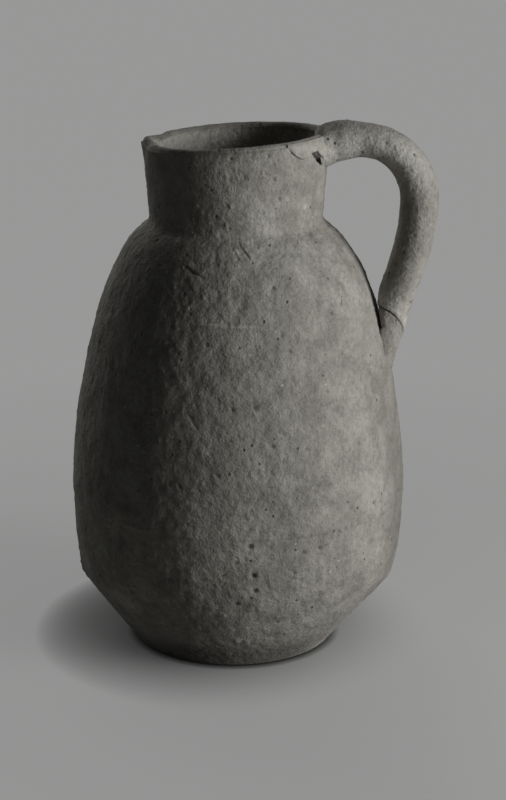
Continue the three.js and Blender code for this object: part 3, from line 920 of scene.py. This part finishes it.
# What the camera sees of the floor: a little of the lamps' light, and a pale glow that is dimmed
# near the jug, in the corner under it on the side away from the lamp, and along its foot
foot_gap = [("Distance", 0.004), ("Color", (0.17, 0.17, 0.167, 1))]
close_shade = new(paint, "ShaderNodeAmbientOcclusion", foot_gap, samples=8)
towards_lamp = new(paint, "ShaderNodeCombineXYZ", [("X", 0.8), ("Y", -0.25), ("Z", 0.55)])
corner = [("Distance", 0.042), ("Normal", towards_lamp.outputs["Vector"])]
corner_shade = new(paint, "ShaderNodeAmbientOcclusion", corner, samples=8)
deeper = sums(paint, "POWER", corner_shade.outputs["AO"], 2.1)
floor_place = new(paint, "ShaderNodeTexCoord").outputs["Object"]
from_jug = new(paint, "ShaderNodeVectorMath", [(0, floor_place)], operation="LENGTH").outputs["Value"]
dimmer = spread(paint, from_jug, 0.1, 0.5, 0.85, 1)
glow = sums(paint, "MULTIPLY", sums(paint, "MULTIPLY", deeper, dimmer), close_shade.outputs["AO"])
pale_glow = [("Color", (0.272, 0.276, 0.271, 1)), ("Strength", glow)]
pale_floor = new(paint, "ShaderNodeEmission", pale_glow).outputs["Emission"]
lit_colour = [("Color", close_shade.outputs["Color"])]
lit_floor = new(paint, "ShaderNodeBsdfDiffuse", lit_colour).outputs["BSDF"]
seen_floor = new(paint, "ShaderNodeAddShader", [(0, lit_floor), (1, pale_floor)]).outputs["Shader"]

# What the jug gets from the floor: its plain grey
plain_floor = new(paint, "ShaderNodeBsdfDiffuse", [("Color", (0.26, 0.26, 0.256, 1))]).outputs["BSDF"]
floor_mix = [("Fac", looked_at(paint)), (1, plain_floor), (2, seen_floor)]
floor_choice = new(paint, "ShaderNodeMixShader", floor_mix).outputs["Shader"]
paint.links.new(floor_choice, paint.nodes["Material Output"].inputs["Surface"])
floor.data.materials.append(floor_paint)


def towards(turn, rise=0.0):
    """A direction: turn is degrees round to the right from the front, rise how far it goes up."""
    turn = math.radians(turn)
    return Vector((math.sin(turn), -math.cos(turn), rise))


def lamp(name, energy, angle, turn, height):
    """A broad far light, turned to the right from the front and raised, both in degrees."""
    light = bpy.data.objects.new(name, bpy.data.lights.new(name, "SUN"))
    light.data.energy = energy
    light.data.angle = math.radians(angle)
    direction = towards(turn, math.tan(math.radians(height)))
    light.rotation_euler = direction.to_track_quat("Z", "Y").to_euler()
    bpy.context.scene.collection.objects.link(light)


softbox = bpy.data.objects.new("softbox", bpy.data.lights.new("softbox", "AREA"))
softbox_turn, softbox_distance, softbox_height, softbox_tip = 70, 0.45, 0.2, 0.15
softbox.data.shape = "RECTANGLE"
softbox.data.size, softbox.data.size_y = 0.18, 0.34
softbox.data.energy = 0.53
softbox.data.spread = math.radians(130)
softbox.location = softbox_distance * towards(softbox_turn)
softbox.location.z = softbox_height
softbox.rotation_euler = towards(softbox_turn, softbox_tip).to_track_quat("Z", "Y").to_euler()
softbox.visible_camera = False
bpy.context.scene.collection.objects.link(softbox)
lamp("window", 1.42, 24, 76, 11)
lamp("far window", 1.1, 50, 208, 25)

world = bpy.data.worlds.new("room")
bpy.context.scene.world = world
world.use_nodes = True
room = world.node_tree
backdrop = room.nodes["Background"]
backdrop.inputs["Color"].default_value = (0.345, 0.35, 0.345, 1)
weak_light = [("Color", (0.9, 0.95, 1, 1)), ("Strength", 0.008)]
fill = new(room, "ShaderNodeBackground", weak_light).outputs["Background"]
room_mix = [("Fac", looked_at(room)), (1, fill), (2, backdrop.outputs["Background"])]
room_choice = new(room, "ShaderNodeMixShader", room_mix).outputs["Shader"]
room.links.new(room_choice, room.nodes["World Output"].inputs["Surface"])

camera = bpy.data.objects.new("camera", bpy.data.cameras.new("camera"))
camera.location = (0.1310, -0.9322, 0.3998)
target = Vector((0, 0, 0.1274))
camera.rotation_euler = (target - camera.location).to_track_quat("-Z", "Y").to_euler()
camera.data.lens = 90
camera.data.sensor_width = 36
camera.data.shift_x = 0.01875
camera.data.shift_y = -0.0184
bpy.context.scene.collection.objects.link(camera)
bpy.context.scene.camera = camera
bpy.context.scene.view_settings.view_transform = "Standard"
